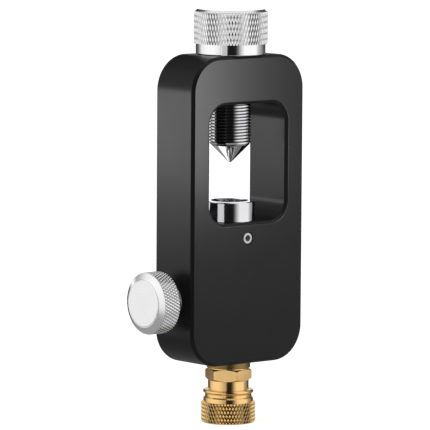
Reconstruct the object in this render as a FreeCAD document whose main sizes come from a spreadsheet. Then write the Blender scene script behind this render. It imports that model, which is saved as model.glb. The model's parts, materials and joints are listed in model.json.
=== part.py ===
import FreeCAD, Part
import os
import re

import Sketcher

# Clamp yoke for filling a high-pressure gas cylinder. Millimetres, +Z up.
# Origin: the centre of the inlet cup's rim, on the axis of the clamp screw.
# The front face looks along -Y and the bleed valve is on the -X side.

doc = FreeCAD.newDocument("filling_yoke")
sheet = doc.addObject("Spreadsheet::Sheet", "Dims")

DIMENSIONS = {
    # aluminium block and its window
    "body_width": 60.0,
    "body_depth": 24.5,
    "body_top": 60.9,
    "body_foot": -67.2,
    "body_corner": 14.5,
    "edge_chamfer": 1.15,
    "window_width": 40.6,
    "window_top": 40.85,
    "window_floor": -8.25,
    "window_corner": 8.0,
    # fits: radial gap of a turning or sliding pair, and of pieces screwed or glued together
    "run_gap": 0.05,
    "seat_gap": 0.02,
    "end_gap": 0.05,
    # how far a drill runs past the face it comes out of, and the small chamfer on turned edges
    "overrun": 1.0,
    "small_edge": 0.3,
    # clamp screw, point and knob
    "screw_radius": 8.7,
    "screw_end": 23.12,
    "screw_end_radius": 7.75,
    "point_radius": 7.7,
    "point_tip": 15.77,
    "point_flat": 0.4,
    "point_round": 0.8,
    "point_pin_radius": 3.0,
    "point_pin_length": 10.0,
    "pin_end_gap": 0.3,
    "ring_height": 6.0,
    "ring_slot": 1.1,
    "ring_slot_depth": 0.75,
    "pin_slot_depth": 0.6,
    "point_ring_wire": 0.45,
    "knob_radius": 15.3,
    "knob_foot": 61.0,
    "knob_recess": 0.5,
    "collar_radius": 14.44,
    "knurl_foot": 65.37,
    "knurl_top": 78.46,
    "knob_bevel": 1.2,
    "knob_pin_radius": 5.0,
    "knob_pin_top": 76.0,
    # inlet cup
    "cup_radius": 10.6,
    "cup_bore": 7.7,
    "cup_depth": 4.0,
    "spigot_radius": 6.0,
    "spigot_end": -18.6,
    "spigot_edge": 0.5,
    "cup_groove_inner": 4.9,
    "cup_groove_outer": 6.9,
    "cup_groove_depth": 1.85,
    "cup_seal_wire": 0.95,
    "flange_groove_inner": 7.5,
    "flange_groove_outer": 9.1,
    "flange_groove_depth": 1.45,
    "flange_seal_wire": 0.68,
    "passage_radius": 1.5,
    "filter_radius": 3.4,
    "filter_thick": 1.5,
    "filter_pit": 3.45,
    "clip_width": 1.2,
    "clip_thick": 1.0,
    "lock_height": -14.85,
    "lock_radius": 2.5,
    "lock_mouth": 2.8,
    "lock_socket": 2.5,
    "lock_socket_depth": 2.4,
    "lock_point": 0.8,
    "lock_edge": 0.25,
    # bleed valve, on a level axis through the side face
    "bleed_height": -39.9,
    "bleed_seat_depth": 18.0,
    "bleed_chamber_radius": 2.5,
    "bleed_passage_radius": 1.2,
    "vent_radius": 0.8,
    "vent_back": 4.0,
    "gland_flange": 6.3,
    "gland_proud": 0.8,
    "gland_radius": 4.5,
    "gland_length": 9.8,
    "gland_groove": 1.8,
    "gland_seal_wire": 0.53,
    "stem_groove_outer": 3.15,
    "stem_groove_near": 4.0,
    "stem_groove_far": 5.6,
    "stem_seal_wire": 0.52,
    "stem_radius": 2.0,
    "stem_stop": 1.5,
    "pad_radius": 1.8,
    "pad_face_radius": 0.7,
    "pad_nose": 0.3,
    "pad_slope_end": 0.7,
    "pad_pin_radius": 0.8,
    "pad_pin_length": 3.0,
    "pad_pin_hole": 0.85,
    "bleed_knob_radius": 12.85,
    "bleed_knob_back": 6.4,
    "bleed_knurl_length": 7.8,
    "bleed_bevel_length": 1.75,
    "bleed_face_radius": 9.35,
    "bleed_hollow_depth": 3.4,
    "bleed_hollow_radius": 9.6,
    "bleed_hollow_taper": 0.6,
    "bleed_knob_edge": 0.4,
    "stem_end_gap": 0.1,
    # quick coupler
    "washer_radius": 9.1,
    "washer_thick": 2.65,
    "washer_edge": 0.25,
    "washer_gap": 0.15,
    "hex_flats": 17.0,
    "hex_top": -70.3,
    "hex_foot": -75.4,
    "hex_turn": 12.0,
    "shank_radius": 4.85,
    "shank_top": -58.2,
    "shank_edge": 0.6,
    "neck_radius": 8.47,
    "neck_end": -80.2,
    "barrel_radius": 6.5,
    "barrel_end": -92.5,
    "socket_radius": 4.05,
    "socket_top": -84.0,
    "socket_edge": 0.5,
    "socket_relief": 0.25,
    "seal_groove_outer": 4.7,
    "seal_groove_depth": 2.4,
    "coupler_seal_wire": 0.75,
    "backup_thick": 0.78,
    "seal_radius": 3.2,
    "seal_top": -80.6,
    "ball_radius": 1.5,
    "ball_proud": 0.55,
    "ball_height": -87.6,
    "ball_cone": 0.1765,
    "sleeve_top": -79.06,
    "lip_radius": 10.47,
    "lip_foot": -80.3,
    "groove_radius": 9.66,
    "ridge_radius": 10.35,
    "ridge_top": -82.26,
    "grip_radius": 11.27,
    "grip_top": -84.1,
    "grip_foot": -92.7,
    "sleeve_shoulder": -86.9,
    "ring_radius": 7.4,
    "ring_top": -91.54,
    "ring_thick": 0.6,
    "ring_groove": 0.4,
    "spring_width": 1.0,
    "spring_thick": 0.6,
    "spring_turns": 3.0,
}

for row, (alias, number) in enumerate(DIMENSIONS.items(), start=1):
    sheet.set(f"A{row}", alias)
    sheet.set(f"B{row}", str(number))
    sheet.setAlias(f"B{row}", alias)
doc.recompute()

NODES = []


def expression(text):
    """An expression with every dimension's name made a reference to the sheet."""
    return re.sub("[a-z_]+", lambda word: f"Dims.{word[0]}" if word[0] in DIMENSIONS else word[0], text)


def value(text):
    """The number that an expression of dimensions gives."""
    return float(sheet.evalExpression(expression(text)))


def node(part, label):
    """Name a finished sub-part and count it in."""
    part.Label = label
    NODES.append(part)
    return part


def bind(part, sizes):
    """Bind a primitive's properties to expressions of dimensions."""
    for name, text in sizes.items():
        part.setExpression(name, expression(text))
    return part


def place(part, height="0", turn=None, x="0", y="0"):
    """Put a part at x, y and height, turned by turn, an axis and an angle."""
    if turn:
        axis, angle = turn
        part.Placement.Rotation = FreeCAD.Rotation(FreeCAD.Vector(*axis), angle)
    for letter, text in zip("xyz", (x, y, height)):
        part.setExpression(f"Placement.Base.{letter}", expression(text))
    return part


def plane(body, role):
    """One of a body's own origin planes."""
    return next(item for item in body.Origin.OriginFeatures if item.Role == role)


def turned(name, outline):
    """A turned piece: a closed outline of (radius, height) expressions, revolved about its own Z axis."""
    body = doc.addObject("PartDesign::Body", name)
    sketch = body.newObject("Sketcher::SketchObject", f"{name}_outline")
    sketch.AttachmentSupport = [(plane(body, "XZ_Plane"), "")]
    sketch.MapMode = "FlatFace"
    corners = [FreeCAD.Vector(value(radius), value(height), 0) for radius, height in outline]
    for start, end in zip(corners, corners[1:] + corners[:1]):
        sketch.addGeometry(Part.LineSegment(start, end))
    last = len(outline) - 1
    for index, (radius, height) in enumerate(outline):
        sketch.addConstraint(Sketcher.Constraint("Coincident", index, 1, index - 1 if index else last, 2))
        corner = corners[index]
        across, up = ("DistanceX", radius, corner.x, -2), ("DistanceY", height, corner.y, -1)
        for kind, text, number, axis in (across, up):
            if text == "0":
                sketch.addConstraint(Sketcher.Constraint("PointOnObject", index, 1, axis))
            else:
                added = sketch.addConstraint(Sketcher.Constraint(kind, -1, 1, index, 1, number))
                sketch.setExpression(f"Constraints[{added}]", expression(text))
    solid = body.newObject("PartDesign::Revolution", f"{name}_turned")
    solid.Profile = sketch
    solid.ReferenceAxis = (sketch, ["V_Axis"])
    solid.Angle = 360.0
    doc.recompute()
    return body


def dress(body, kind, size, keep, name):
    """A fillet or chamfer on the edges of a body's last feature that keep() picks."""
    base = body.Tip
    names = [f"Edge{number}" for number, edge in enumerate(base.Shape.Edges, start=1) if keep(edge)]
    feature = body.newObject(f"PartDesign::{kind}", name)
    feature.Base = (base, names)
    feature.setExpression("Radius" if kind == "Fillet" else "Size", expression(size))
    doc.recompute()
    return feature


def rectangle(body, name, half_width, top, foot):
    """A rectangle sketched on a body's XZ plane, evenly about the Z axis."""
    sketch = body.newObject("Sketcher::SketchObject", name)
    sketch.AttachmentSupport = [(plane(body, "XZ_Plane"), "")]
    sketch.MapMode = "FlatFace"
    sides = [("-", foot), ("", foot), ("", top), ("-", top)]
    corners = [FreeCAD.Vector(value(f"{sign}1 * ( {half_width} )"), value(level), 0) for sign, level in sides]
    for start, end in zip(corners, corners[1:] + corners[:1]):
        sketch.addGeometry(Part.LineSegment(start, end))
    for index, (sign, level) in enumerate(sides):
        sketch.addConstraint(Sketcher.Constraint("Coincident", index, 1, index - 1 if index else 3, 2))
        added = sketch.addConstraint(Sketcher.Constraint("DistanceX", -1, 1, index, 1, corners[index].x))
        sketch.setExpression(f"Constraints[{added}]", expression(f"{sign}1 * ( {half_width} )"))
        added = sketch.addConstraint(Sketcher.Constraint("DistanceY", -1, 1, index, 1, corners[index].y))
        sketch.setExpression(f"Constraints[{added}]", expression(level))
    return sketch


def cylinder(name, radius, length, **where):
    """A cylinder from its foot at the placement, along its own Z axis."""
    return place(bind(doc.addObject("Part::Cylinder", name), {"Radius": radius, "Height": length}), **where)


def torus(name, ring, wire, **where):
    """An O-ring: a torus of a ring radius and a wire radius."""
    return place(bind(doc.addObject("Part::Torus", name), {"Radius1": ring, "Radius2": wire}), **where)


def cut(name, base, tools):
    """The base less every tool."""
    tool = tools[0]
    if len(tools) > 1:
        tool = doc.addObject("Part::MultiFuse", f"{name}_tools")
        tool.Shapes = tools
    result = doc.addObject("Part::Cut", name)
    result.Base = base
    result.Tool = tool
    return result


TO_MINUS_X = ((0, 1, 0), -90)
TO_FRONT = ((1, 0, 0), 90)
TO_BACK = ((1, 0, 0), -90)


def parallel_to_depth(edge):
    """Is this a straight edge that runs front to back?"""
    ends = [vertex.Point for vertex in edge.Vertexes]
    return len(ends) == 2 and abs(abs(ends[0].y - ends[1].y) - ends[0].distanceToPoint(ends[1])) < 1e-6


def yoke_body():
    """The block: a rounded plate with a rounded window, chamfered all round, then drilled."""
    block = doc.addObject("PartDesign::Body", "block")
    outline = rectangle(block, "block_outline", "body_width / 2", "body_top", "body_foot")
    slab = block.newObject("PartDesign::Pad", "slab")
    slab.Profile = outline
    slab.Midplane = True
    slab.setExpression("Length", expression("body_depth"))
    doc.recompute()
    dress(block, "Fillet", "body_corner", parallel_to_depth, "block_corners")
    opening = rectangle(block, "window_outline", "window_width / 2", "window_top", "window_floor")
    window = block.newObject("PartDesign::Pocket", "window")
    window.Profile = opening
    window.Midplane = True
    window.setExpression("Length", expression("body_depth + 2 * overrun"))
    doc.recompute()

    def window_corner(edge):
        half = value("window_width / 2")
        return parallel_to_depth(edge) and abs(abs(edge.Vertexes[0].X) - half) < 1e-6 and (
            value("window_floor") - 1e-6 < edge.Vertexes[0].Z < value("window_top") + 1e-6
        ) and min(abs(edge.Vertexes[0].Z - value(level)) for level in ("window_floor", "window_top")) < 1e-6

    dress(block, "Fillet", "window_corner", window_corner, "window_corners")

    def on_a_face(edge):
        half = value("body_depth / 2")
        return all(abs(abs(vertex.Y) - half) < 1e-6 for vertex in edge.Vertexes) and not parallel_to_depth(edge)

    dress(block, "Chamfer", "edge_chamfer", on_a_face, "face_chamfers")

    mouth_depth = "lock_mouth - lock_radius"
    tools = [
        cylinder(
            "screw_hole", "screw_radius + run_gap", "body_top - window_top + 2 * overrun",
            height="window_top - overrun",
        ),
        cylinder(
            "spigot_hole", "spigot_radius + seat_gap", "window_floor - spigot_end + end_gap + overrun",
            height="spigot_end - end_gap",
        ),
        cylinder("gas_passage", "passage_radius", "spigot_end - shank_top", height="shank_top"),
        cylinder(
            "coupler_hole", "shank_radius + seat_gap", "shank_top - body_foot + end_gap + overrun",
            height="body_foot - overrun",
        ),
        cylinder(
            "lock_hole", "lock_radius + seat_gap", "body_depth / 2 - spigot_radius + 1.5 * overrun",
            turn=TO_FRONT, y="-spigot_radius + overrun / 2", height="lock_height",
        ),
        cylinder(
            "gland_hole", "gland_radius + seat_gap", "gland_length + 4 * end_gap + overrun", turn=TO_MINUS_X,
            x="-body_width / 2 + gland_length + 4 * end_gap", height="bleed_height",
        ),
        cylinder(
            "bleed_chamber", "bleed_chamber_radius", "bleed_seat_depth - gland_length", turn=TO_MINUS_X,
            x="-body_width / 2 + bleed_seat_depth", height="bleed_height",
        ),
        cylinder(
            "bleed_passage", "bleed_passage_radius", "body_width / 2 - bleed_seat_depth + overrun",
            turn=TO_MINUS_X, height="bleed_height",
        ),
        cylinder(
            "vent_hole", "vent_radius", "body_depth / 2 + overrun", turn=TO_BACK,
            x="-body_width / 2 + bleed_seat_depth - vent_back", height="bleed_height",
        ),
    ]
    mouth = doc.addObject("Part::Cone", "lock_mouth_cone")
    cone = {"Radius1": "lock_radius", "Radius2": "lock_mouth + end_gap", "Height": f"{mouth_depth} + end_gap"}
    bind(mouth, cone)
    place(mouth, turn=TO_FRONT, y=f"-body_depth / 2 + {mouth_depth}", height="lock_height")
    node(cut("yoke_drilled", block, tools + [mouth]), "yoke_body")


def clamp():
    """Screw, swivelling point, wire ring and knob, all on the main axis."""
    bore = "point_pin_radius + run_gap"
    bore_top = "screw_end + point_pin_length + pin_end_gap"
    slot = "screw_end + ring_height"
    slot_top = f"{slot} + ring_slot"
    pin_slot = "point_pin_radius - pin_slot_depth"
    ring_slot = "point_pin_radius + ring_slot_depth"
    spigot_foot = "knob_foot + knob_recess"
    node(turned("screw_turned", [
        (bore, "screw_end"),
        ("screw_end_radius", "screw_end"),
        ("screw_radius", "screw_end + screw_radius - screw_end_radius"),
        ("screw_radius", spigot_foot),
        ("knob_pin_radius", spigot_foot),
        ("knob_pin_radius", "knob_pin_top"),
        ("0", "knob_pin_top"),
        ("0", bore_top),
        (bore, bore_top),
        (bore, slot_top),
        (ring_slot, slot_top),
        (ring_slot, slot),
        (bore, slot),
    ]), "clamp_screw")

    shoulder = "screw_end - end_gap"
    slope_foot = "point_tip + end_gap"
    point = turned("point_turned", [
        ("0", "point_tip"),
        ("point_flat", "point_tip"),
        ("point_radius", shoulder),
        ("point_pin_radius", shoulder),
        ("point_pin_radius", slot),
        (pin_slot, slot),
        (pin_slot, slot_top),
        ("point_pin_radius", slot_top),
        ("point_pin_radius", "screw_end + point_pin_length"),
        ("0", "screw_end + point_pin_length"),
    ])
    dress(point, "Fillet", "point_round", lambda edge: edge.BoundBox.ZMax < value(slope_foot), "point_nose")
    node(point, "thrust_point")
    ring = torus("ring_wire", "point_pin_radius - end_gap", "point_ring_wire", height=f"{slot} + ring_slot / 2")
    node(ring, "point_ring")

    node(turned("knob_turned", [
        ("knob_pin_radius + seat_gap", f"{spigot_foot} + seat_gap"),
        ("screw_radius + run_gap", f"{spigot_foot} + seat_gap"),
        ("screw_radius + run_gap", "knob_foot"),
        ("collar_radius - small_edge", "knob_foot"),
        ("collar_radius", "knob_foot + small_edge"),
        ("collar_radius", "knurl_foot"),
        ("knob_radius", "knurl_foot"),
        ("knob_radius", "knurl_top"),
        ("knob_radius - knob_bevel", "knurl_top + knob_bevel"),
        ("0", "knurl_top + knob_bevel"),
        ("0", "knob_pin_top + pin_end_gap"),
        ("knob_pin_radius + seat_gap", "knob_pin_top + pin_end_gap"),
    ]), "clamp_knob")


def inlet():
    """The cup that takes the cylinder valve, with its seals and filter, and the screw that locks it."""
    floor = "-cup_depth"
    pit = "-cup_depth - filter_pit"
    groove = "-cup_depth - cup_groove_depth"
    flange_groove = "window_floor + flange_groove_depth"
    node(turned("seat_turned", [
        ("passage_radius", "spigot_end"),
        ("spigot_radius - spigot_edge", "spigot_end"),
        ("spigot_radius", "spigot_end + spigot_edge"),
        ("spigot_radius", "window_floor"),
        ("flange_groove_inner", "window_floor"),
        ("flange_groove_inner", flange_groove),
        ("flange_groove_outer", flange_groove),
        ("flange_groove_outer", "window_floor"),
        ("cup_radius", "window_floor"),
        ("cup_radius", "-small_edge"),
        ("cup_radius - small_edge", "0"),
        ("cup_bore + small_edge", "0"),
        ("cup_bore", "-small_edge"),
        ("cup_bore", floor),
        ("cup_groove_outer", floor),
        ("cup_groove_outer", groove),
        ("cup_groove_inner", groove),
        ("cup_groove_inner", floor),
        ("filter_radius + 2 * end_gap", floor),
        ("filter_radius + 2 * end_gap", pit),
        ("passage_radius", pit),
    ]), "inlet_seat")
    cup_seal = torus(
        "cup_seal", "( cup_groove_inner + cup_groove_outer ) / 2", "cup_seal_wire",
        height=f"{groove} + cup_seal_wire + seat_gap",
    )
    node(cup_seal, "inlet_oring")
    flange_seal = torus(
        "flange_seal", "( flange_groove_inner + flange_groove_outer ) / 2", "flange_seal_wire",
        height="window_floor + flange_seal_wire + seat_gap",
    )
    node(flange_seal, "seat_oring")
    filter_foot = f"{pit} + seat_gap"
    clip_foot = f"{filter_foot} + filter_thick + seat_gap"
    node(cylinder("filter_disc", "filter_radius", "filter_thick", height=filter_foot), "inlet_filter")
    node(turned("filter_clip", [
        ("filter_radius - clip_width", clip_foot),
        ("filter_radius + end_gap", clip_foot),
        ("filter_radius + end_gap", f"{clip_foot} + clip_thick"),
        ("filter_radius - clip_width", f"{clip_foot} + clip_thick"),
    ]), "filter_ring")

    length = "body_depth / 2 - small_edge - spigot_radius - end_gap"
    plug = turned("lock_turned", [
        ("0", "0"),
        ("lock_radius - lock_point", "0"),
        ("lock_radius", "lock_point"),
        ("lock_radius", f"{length} - lock_edge"),
        ("lock_radius - lock_edge", length),
        ("0", length),
    ])
    socket = doc.addObject("Part::Prism", "lock_socket_prism")
    socket.Polygon = 6
    bind(socket, {"Circumradius": "lock_socket / 2 / cos(30 deg)", "Height": "lock_socket_depth + overrun"})
    place(socket, height=f"{length} - lock_socket_depth")
    screw = cut("lock_cut", plug, [socket])
    place(screw, turn=TO_FRONT, y="-spigot_radius - end_gap", height="lock_height")
    node(screw, "seat_lock_screw")


def bleed():
    """The bleed valve. Each piece is turned on its own Z axis from the side face, then laid along -X."""
    side = {"turn": TO_MINUS_X, "x": "-body_width / 2", "height": "bleed_height"}
    stem_hole = "stem_radius + run_gap"
    gland_seal_ring = "gland_radius - gland_seal_wire"
    node(place(turned("gland_turned", [
        (stem_hole, "-gland_length"),
        (f"{gland_seal_ring} - gland_seal_wire - seat_gap", "-gland_length"),
        (f"{gland_seal_ring} - gland_seal_wire - seat_gap", "-gland_length + gland_groove"),
        ("gland_radius", "-gland_length + gland_groove"),
        ("gland_radius", "0"),
        ("gland_flange", "0"),
        ("gland_flange", "gland_proud - small_edge"),
        ("gland_flange - small_edge", "gland_proud"),
        (stem_hole, "gland_proud"),
        (stem_hole, "-stem_groove_near"),
        ("stem_groove_outer", "-stem_groove_near"),
        ("stem_groove_outer", "-stem_groove_far"),
        (stem_hole, "-stem_groove_far"),
    ]), **side), "bleed_gland")
    gland_seal = torus(
        "gland_seal", gland_seal_ring, "gland_seal_wire", turn=TO_MINUS_X,
        x="-body_width / 2 + gland_length - gland_groove / 2", height="bleed_height",
    )
    node(gland_seal, "gland_oring")
    stem_seal = torus(
        "stem_seal", "( stem_radius + stem_groove_outer + run_gap ) / 2", "stem_seal_wire", turn=TO_MINUS_X,
        x="-body_width / 2 + ( stem_groove_near + stem_groove_far ) / 2", height="bleed_height",
    )
    node(stem_seal, "stem_oring")

    stem_end = "-bleed_seat_depth + stem_stop"
    knob_front = "bleed_knob_back + bleed_knurl_length + bleed_bevel_length"
    node(place(turned("stem_turned", [
        ("pad_pin_hole", stem_end),
        ("stem_radius", stem_end),
        ("stem_radius", "bleed_knob_back + bleed_knurl_length"),
        ("0", "bleed_knob_back + bleed_knurl_length"),
        ("0", f"{stem_end} + pad_pin_length + 4 * end_gap"),
        ("pad_pin_hole", f"{stem_end} + pad_pin_length + 4 * end_gap"),
    ]), **side), "bleed_stem")
    node(place(turned("pad_turned", [
        ("0", "-bleed_seat_depth - pad_nose"),
        ("pad_face_radius", "-bleed_seat_depth - pad_nose"),
        ("pad_radius", "-bleed_seat_depth + pad_slope_end"),
        ("pad_radius", f"{stem_end} - end_gap"),
        ("pad_pin_radius", f"{stem_end} - end_gap"),
        ("pad_pin_radius", f"{stem_end} + pad_pin_length"),
        ("0", f"{stem_end} + pad_pin_length"),
    ]), **side), "bleed_pad")
    node(place(turned("bleed_knob_turned", [
        ("stem_radius + seat_gap", "bleed_knob_back + bleed_hollow_depth"),
        ("bleed_hollow_radius - bleed_hollow_taper", "bleed_knob_back + bleed_hollow_depth"),
        ("bleed_hollow_radius", "bleed_knob_back"),
        ("bleed_knob_radius - bleed_knob_edge", "bleed_knob_back"),
        ("bleed_knob_radius", "bleed_knob_back + bleed_knob_edge"),
        ("bleed_knob_radius", "bleed_knob_back + bleed_knurl_length"),
        ("bleed_face_radius", knob_front),
        ("0", knob_front),
        ("0", "bleed_knob_back + bleed_knurl_length + stem_end_gap"),
        ("stem_radius + seat_gap", "bleed_knob_back + bleed_knurl_length + stem_end_gap"),
    ]), **side), "bleed_knob")


def coupler_body():
    """The brass nipple: shank, hexagon, neck and barrel on one core, then the six ball pockets."""
    under_washer = "body_foot - washer_thick - end_gap"
    ring_groove_top = "ring_top + seat_gap"
    ring_groove_foot = "ring_top - ring_thick - seat_gap"
    relief_foot = "ball_height - ball_radius - run_gap"
    relief_top = "ball_height + ball_radius + run_gap"
    core = turned("coupler_core", [
        ("passage_radius", "shank_top"),
        ("shank_radius - shank_edge", "shank_top"),
        ("shank_radius", "shank_top - shank_edge"),
        ("shank_radius", under_washer),
        ("neck_radius - small_edge", under_washer),
        ("neck_radius - small_edge", "hex_top"),
        ("neck_radius", "hex_top"),
        ("neck_radius", "neck_end"),
        ("barrel_radius", "neck_end"),
        ("barrel_radius", ring_groove_top),
        ("barrel_radius - ring_groove", ring_groove_top),
        ("barrel_radius - ring_groove", ring_groove_foot),
        ("barrel_radius", ring_groove_foot),
        ("barrel_radius", "barrel_end + small_edge"),
        ("barrel_radius - small_edge", "barrel_end"),
        ("socket_radius + socket_edge", "barrel_end"),
        ("socket_radius", "barrel_end + socket_edge"),
        ("socket_radius", relief_foot),
        ("socket_radius + socket_relief", relief_foot),
        ("socket_radius + socket_relief", relief_top),
        ("socket_radius", relief_top),
        ("socket_radius", "socket_top"),
        ("seal_groove_outer", "socket_top"),
        ("seal_groove_outer", "socket_top + seal_groove_depth"),
        ("seal_radius", "socket_top + seal_groove_depth"),
        ("seal_radius", "seal_top"),
        ("passage_radius", "seal_top + seal_radius - passage_radius"),
    ])
    flats = doc.addObject("Part::Prism", "hex_flats_prism")
    flats.Polygon = 6
    bind(flats, {"Circumradius": "hex_flats / 2 / cos(30 deg)", "Height": "hex_top - hex_foot"})
    place(flats, height="hex_foot")
    flats.setExpression("Placement.Rotation.Angle", expression("hex_turn"))
    flats.setExpression("Placement.Rotation.Axis.z", "1")
    rim = "hex_flats / 2 / cos(30 deg) + 0.2"
    envelope = turned("hex_envelope", [
        ("neck_radius - 1", "hex_foot"),
        ("hex_flats / 2 - 0.35", "hex_foot"),
        (rim, f"hex_foot + ( {rim} - hex_flats / 2 + 0.35 ) * 0.7"),
        (rim, f"hex_top - ( {rim} - hex_flats / 2 ) * 0.55"),
        ("hex_flats / 2", "hex_top"),
        ("neck_radius - 1", "hex_top"),
    ])
    hexagon = doc.addObject("Part::Common", "hexagon")
    hexagon.Base = flats
    hexagon.Tool = envelope
    nipple = doc.addObject("Part::Fuse", "nipple")
    nipple.Base = core
    nipple.Tool = hexagon

    centre = "socket_radius + ball_radius - ball_proud"
    pockets = []
    for number in range(6):
        angle = 60 * number
        spot = {"x": f"( {centre} ) * cos({angle} deg)", "y": f"( {centre} ) * sin({angle} deg)"}
        seat = doc.addObject("Part::Sphere", f"pocket_seat_{number + 1}")
        bind(seat, {"Radius": "ball_radius + run_gap"})
        place(seat, height="ball_height", **spot)
        pipe = cylinder(f"pocket_pipe_{number + 1}", "ball_radius + run_gap", "2 * ball_radius")
        level = FreeCAD.Rotation(FreeCAD.Vector(0, 1, 0), 90)
        pipe.Placement.Rotation = FreeCAD.Rotation(FreeCAD.Vector(0, 0, 1), angle) * level
        place(pipe, height="ball_height", **spot)
        pockets += [seat, pipe]
        ball = doc.addObject("Part::Sphere", f"ball_{number + 1}")
        bind(ball, {"Radius": "ball_radius"})
        place(ball, height="ball_height", **spot)
        node(ball, f"locking_ball_{number + 1}")
    node(cut("nipple_pockets", nipple, pockets), "coupler_body")


def coupler_fittings():
    """Washer, seals, sliding sleeve, its spring and its ring."""
    node(turned("washer_turned", [
        ("shank_radius + washer_gap", "body_foot - seat_gap"),
        ("washer_radius - washer_edge", "body_foot - seat_gap"),
        ("washer_radius", "body_foot - seat_gap - washer_edge"),
        ("washer_radius", "body_foot - washer_thick + washer_edge"),
        ("washer_radius - washer_edge", "body_foot - washer_thick"),
        ("shank_radius + washer_gap", "body_foot - washer_thick"),
    ]), "coupler_washer")
    socket_seal = torus(
        "socket_seal", "seal_groove_outer - coupler_seal_wire - end_gap", "coupler_seal_wire",
        height="socket_top + seal_groove_depth - coupler_seal_wire - seat_gap",
    )
    node(socket_seal, "coupler_oring")
    node(turned("backup_turned", [
        ("seal_radius + 2 * end_gap", "socket_top + seat_gap"),
        ("seal_groove_outer - end_gap", "socket_top + seat_gap"),
        ("seal_groove_outer - end_gap", "socket_top + seat_gap + backup_thick"),
        ("seal_radius + 2 * end_gap", "socket_top + seat_gap + backup_thick"),
    ]), "backup_ring")

    land = "barrel_radius + run_gap"
    cone_top = "ball_height + 4 * end_gap"
    step = "ring_top + 2 * seat_gap"
    cone_foot_radius = f"{land} + ( {cone_top} - ( {step} ) ) * ball_cone"
    node(turned("sleeve_turned", [
        ("neck_radius + run_gap", "sleeve_top"),
        ("lip_radius - small_edge", "sleeve_top"),
        ("lip_radius", "sleeve_top - small_edge"),
        ("lip_radius", "lip_foot + small_edge"),
        ("lip_radius - small_edge", "lip_foot"),
        ("groove_radius", "lip_foot"),
        ("groove_radius", "ridge_top"),
        ("ridge_radius - small_edge", "ridge_top"),
        ("ridge_radius", "ridge_top - small_edge"),
        ("ridge_radius", "grip_top"),
        ("grip_radius", "grip_top"),
        ("grip_radius", "grip_foot + small_edge"),
        ("grip_radius - small_edge", "grip_foot"),
        ("ring_radius + 2 * small_edge", "grip_foot"),
        ("ring_radius + small_edge", "grip_foot + small_edge"),
        ("ring_radius + small_edge", step),
        (cone_foot_radius, step),
        (land, cone_top),
        (land, "sleeve_shoulder"),
        ("neck_radius + run_gap", "sleeve_shoulder"),
    ]), "coupler_sleeve")
    node(turned("ring_turned", [
        ("barrel_radius - ring_groove + seat_gap", "ring_top - ring_thick"),
        ("ring_radius", "ring_top - ring_thick"),
        ("ring_radius", "ring_top"),
        ("barrel_radius - ring_groove + seat_gap", "ring_top"),
    ]), "sleeve_ring")

    # a coil of flat wire that fills the height between the sleeve's shoulder and the neck
    coil = value("( neck_radius + barrel_radius ) / 2 + seat_gap")
    across = value("spring_width / 2")
    up = value("spring_thick / 2")
    foot = value("sleeve_shoulder + spring_thick / 2 + 2 * end_gap")
    rise = value("neck_end - sleeve_shoulder - spring_thick - 4 * end_gap")
    helix = Part.makeHelix(rise / value("spring_turns"), rise, coil)
    corners = [(coil - across, -up), (coil + across, -up), (coil + across, up), (coil - across, up)]
    points = [FreeCAD.Vector(radius, 0, height) for radius, height in corners]
    section = Part.makePolygon(points + points[:1])
    spring = doc.addObject("Part::Feature", "spring_wire_coil")
    spring.Shape = Part.Wire(helix).makePipeShell([section], True, True)
    spring.Placement = FreeCAD.Placement(FreeCAD.Vector(0, 0, foot), FreeCAD.Rotation())
    node(spring, "sleeve_spring")


yoke_body()
clamp()
inlet()
bleed()
coupler_body()
coupler_fittings()
doc.recompute()

failed = [item.Name for item in doc.Objects if {"Invalid", "Error"} & set(item.State)]
if failed:
    raise RuntimeError(f"features failed: {failed}")
for part in NODES:
    if part.Shape.isNull() or not part.Shape.isValid() or part.Shape.Volume <= 0:
        raise RuntimeError(f"{part.Label} has no sound solid")

os.makedirs("parts", exist_ok=True)
for part in NODES:
    part.Shape.exportStep(f"parts/{part.Label}.step")
    print(f"{part.Label:18s} {part.Shape.Volume:10.1f} mm3, {len(part.Shape.Solids)} solid")
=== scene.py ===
import json
import math

import bmesh
import bpy
from mathutils import Matrix, Vector


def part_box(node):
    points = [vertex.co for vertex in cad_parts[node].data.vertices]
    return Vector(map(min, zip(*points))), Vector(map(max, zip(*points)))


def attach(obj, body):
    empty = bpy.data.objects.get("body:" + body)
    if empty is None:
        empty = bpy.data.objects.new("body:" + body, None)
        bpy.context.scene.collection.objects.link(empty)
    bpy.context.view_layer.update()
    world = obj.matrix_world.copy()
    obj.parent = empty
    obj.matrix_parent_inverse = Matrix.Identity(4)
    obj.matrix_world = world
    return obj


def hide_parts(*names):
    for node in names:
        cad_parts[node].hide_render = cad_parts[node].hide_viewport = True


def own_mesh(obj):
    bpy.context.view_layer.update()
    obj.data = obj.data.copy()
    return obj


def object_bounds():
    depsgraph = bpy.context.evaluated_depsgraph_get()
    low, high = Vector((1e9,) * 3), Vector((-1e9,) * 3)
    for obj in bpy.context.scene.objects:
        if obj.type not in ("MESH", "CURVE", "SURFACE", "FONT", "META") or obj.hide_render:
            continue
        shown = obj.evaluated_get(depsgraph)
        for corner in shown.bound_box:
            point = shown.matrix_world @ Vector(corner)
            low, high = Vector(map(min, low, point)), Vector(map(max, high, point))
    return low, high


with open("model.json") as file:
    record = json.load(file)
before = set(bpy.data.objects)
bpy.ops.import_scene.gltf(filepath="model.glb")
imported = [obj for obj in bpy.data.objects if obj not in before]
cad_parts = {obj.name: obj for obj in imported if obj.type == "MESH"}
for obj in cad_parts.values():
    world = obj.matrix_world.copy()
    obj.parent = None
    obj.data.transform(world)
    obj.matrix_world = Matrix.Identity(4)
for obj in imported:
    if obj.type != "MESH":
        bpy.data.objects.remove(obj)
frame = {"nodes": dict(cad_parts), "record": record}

cad_box = [list(corner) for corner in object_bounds()]
mm = 0.001

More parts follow.
